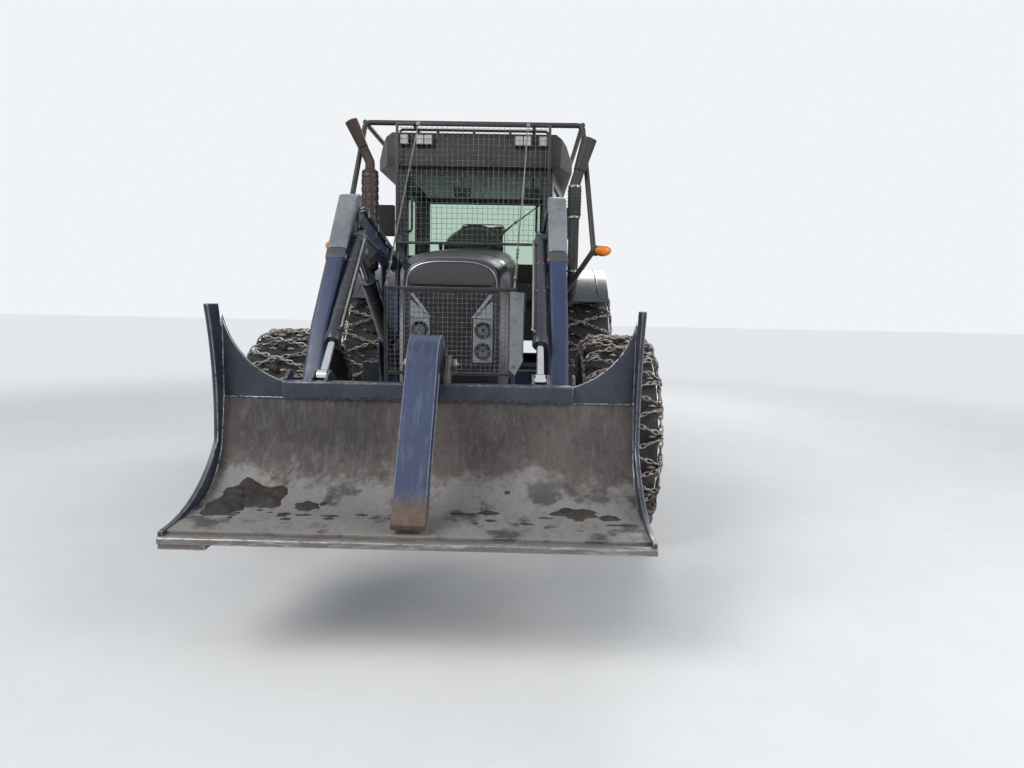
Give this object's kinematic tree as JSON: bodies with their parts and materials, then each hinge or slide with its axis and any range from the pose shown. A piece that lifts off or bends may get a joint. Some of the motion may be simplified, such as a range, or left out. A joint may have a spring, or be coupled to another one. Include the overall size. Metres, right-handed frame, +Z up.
{
  "type": "forestry tractor with front loader and clamping log blade",
  "caption": "Forestry tractor with chained tyres, guarded cab and a front loader that carries a curved log blade with a central clamp arm.",
  "frame": {"origin": "centre of the outline at ground level, midway between the cutting edge and the lower links' ends", "axes": "the tractor faces -Y, its left side is at +X, +Z is up"},
  "size_m": [2.612, 5.72, 3.016],
  "materials": {
    "loader_steel": "worn blue-grey loader paint over bare steel",
    "blade_steel": "rusty and mud-stained mouldboard, bright where it is rubbed",
    "edge_steel": "bright worn cutting edge",
    "body_paint": "dark blue-black body paint",
    "cab_paint": "black cab frame paint",
    "roof_paint": "dark brown-grey roof",
    "guard_paint": "dark painted guard tubes",
    "fender_paint": "blue-grey fender sheet with mud",
    "cast_metal": "muddy castings",
    "rim_paint": "grey rims with mud",
    "tyre_rubber": "chained tyres with dried mud",
    "glass": "green-tinted glazing",
    "lamp_lens": "clear lamp lenses in dark housings",
    "trim_plastic": "black plastic",
    "seat_fabric": "dark seat cloth",
    "chrome_rod": "polished cylinder rods",
    "exhaust_steel": "rusty brown stack",
    "cable_steel": "galvanised wire rope"
  },
  "bodies": {
    "chassis": {"engine_block": "cast_metal", "transmission": "cast_metal", "front_support": "cast_metal", "front_axle": "cast_metal", "cab_frame": "cab_paint", "cab_roof": "roof_paint", "cab_glass": "glass", "console": "trim_plastic", "steering_wheel": "trim_plastic", "seat_base": "trim_plastic", "seat_cushion": "seat_fabric", "seat_back": "seat_fabric", "rear_fenders": "fender_paint", "hood_lower": "body_paint", "grille": "trim_plastic", "headlamps": "lamp_lens", "loader_frame": "loader_steel", "grille_guard": "guard_paint", "roof_guard": "guard_paint", "screen_guard": "guard_paint", "limb_risers": "cable_steel", "exhaust": "exhaust_steel", "air_intake": "trim_plastic", "fuel_tank": "trim_plastic", "battery_box": "body_paint", "work_lamps": "lamp_lens", "marker_lamps": "lamp_lens", "mirrors": "trim_plastic", "rear_hitch": "cast_metal"},
    "hood": {"hood": "body_paint"},
    "door_left": {"door_left": "cab_paint", "door_glass_left": "glass"},
    "knuckle_left": {"knuckle_left": "cast_metal"},
    "front_wheel_left": {"front_rim_left": "rim_paint", "front_tyre_left": "tyre_rubber"},
    "rear_wheel_left": {"rear_rim_left": "rim_paint", "rear_tyre_left": "tyre_rubber"},
    "door_right": {"door_right": "cab_paint", "door_glass_right": "glass"},
    "knuckle_right": {"knuckle_right": "cast_metal"},
    "front_wheel_right": {"front_rim_right": "rim_paint", "front_tyre_right": "tyre_rubber"},
    "rear_wheel_right": {"rear_rim_right": "rim_paint", "rear_tyre_right": "tyre_rubber"},
    "boom": {"boom": "loader_steel"},
    "lift_barrels": {"lift_barrels": "loader_steel"},
    "lift_rods": {"lift_rods": "chrome_rod"},
    "tilt_barrels": {"tilt_barrels": "loader_steel"},
    "tilt_rods": {"tilt_rods": "chrome_rod"},
    "blade": {"blade": "blade_steel", "cutting_edge": "edge_steel", "clamp_bracket": "blade_steel"},
    "clamp_arm": {"clamp_arm": "loader_steel"},
    "clamp_barrel": {"clamp_barrel": "loader_steel"},
    "clamp_rod": {"clamp_rod": "chrome_rod"}
  },
  "joints": [
    {"name": "boom_lift", "type": "hinge", "parent": "chassis", "child": "boom", "pos_m": [0, 0.15, 1.85], "axis": [-1, 0, 0], "range_deg": [-13, 77]},
    {"name": "blade_tilt", "type": "hinge", "parent": "boom", "child": "blade", "pos_m": [0, -2.1, 0.8], "axis": [1, 0, 0], "range_deg": [-20, 70]},
    {"name": "clamp_swing", "type": "hinge", "parent": "blade", "child": "clamp_arm", "pos_m": [0, -2.145, 1.215], "axis": [-1, 0, 0], "range_deg": [0, 70]},
    {"name": "steer_left", "type": "hinge", "parent": "chassis", "child": "knuckle_left", "pos_m": [0.8, -0.85, 0.667], "axis": [0, 0, 1], "range_deg": [-35, 35]},
    {"name": "steer_right", "type": "hinge", "parent": "chassis", "child": "knuckle_right", "pos_m": [-0.8, -0.85, 0.667], "axis": [0, 0, 1], "range_deg": [-35, 35]},
    {"name": "hood_lift", "type": "hinge", "parent": "chassis", "child": "hood", "pos_m": [0, 0.33, 1.88], "axis": [-1, 0, 0], "range_deg": [0, 50]},
    {"name": "door_left_swing", "type": "hinge", "parent": "chassis", "child": "door_left", "pos_m": [0.814, 1.57, 1.9], "axis": [0, 0, 1], "range_deg": [0, 60]},
    {"name": "door_right_swing", "type": "hinge", "parent": "chassis", "child": "door_right", "pos_m": [-0.814, 1.57, 1.9], "axis": [0, 0, -1], "range_deg": [0, 60]},
    {"name": "front_wheel_left_spin", "type": "hinge", "parent": "knuckle_left", "child": "front_wheel_left", "pos_m": [1.061, -0.85, 0.667], "axis": [1, 0, 0], "continuous": true},
    {"name": "rear_wheel_left_spin", "type": "hinge", "parent": "chassis", "child": "rear_wheel_left", "pos_m": [0.975, 1.815, 0.898], "axis": [1, 0, 0], "continuous": true},
    {"name": "front_wheel_right_spin", "type": "hinge", "parent": "knuckle_right", "child": "front_wheel_right", "pos_m": [-1.061, -0.85, 0.667], "axis": [1, 0, 0], "continuous": true},
    {"name": "rear_wheel_right_spin", "type": "hinge", "parent": "chassis", "child": "rear_wheel_right", "pos_m": [-0.975, 1.815, 0.898], "axis": [1, 0, 0], "continuous": true},
    {"name": "lift_barrel_swing", "type": "hinge", "parent": "chassis", "child": "lift_barrels", "pos_m": [0, 0.03, 1.18], "axis": [-1, 0, 0], "range_deg": [-9.1, 53.89]},
    {"name": "lift_rod_slide", "type": "slide", "parent": "lift_barrels", "child": "lift_rods", "axis": [0, -0.8334, 0.5527], "range_m": [-0.111, 0.6573]},
    {"name": "tilt_barrel_swing", "type": "hinge", "parent": "boom", "child": "tilt_barrels", "pos_m": [0, -1.32, 1.9], "axis": [1, 0, 0], "range_deg": [-3.81, 1.09]},
    {"name": "tilt_rod_slide", "type": "slide", "parent": "tilt_barrels", "child": "tilt_rods", "axis": [0, -0.7293, -0.6842], "range_m": [-0.1134, 0.3969]},
    {"name": "clamp_barrel_swing", "type": "hinge", "parent": "blade", "child": "clamp_barrel", "pos_m": [0, -2.08, 0.705], "axis": [-1, 0, 0], "range_deg": [-10.28, 0]},
    {"name": "clamp_rod_slide", "type": "slide", "parent": "clamp_barrel", "child": "clamp_rod", "axis": [0, 0.0822, 0.9966], "range_m": [-0.0998, 0]}
  ],
  "couplings": [
    {"joint": "steer_right", "follows": "steer_left", "ratio": 1},
    {"joint": "lift_barrel_swing", "follows": "boom_lift", "ratio": 0.6862},
    {"joint": "lift_rod_slide", "follows": "boom_lift", "m_per_rad": 0.4795},
    {"joint": "tilt_barrel_swing", "follows": "blade_tilt", "ratio": -0.0533},
    {"joint": "tilt_rod_slide", "follows": "blade_tilt", "m_per_rad": 0.3185},
    {"joint": "clamp_barrel_swing", "follows": "clamp_swing", "ratio": -0.144},
    {"joint": "clamp_rod_slide", "follows": "clamp_swing", "m_per_rad": -0.0801}
  ]
}
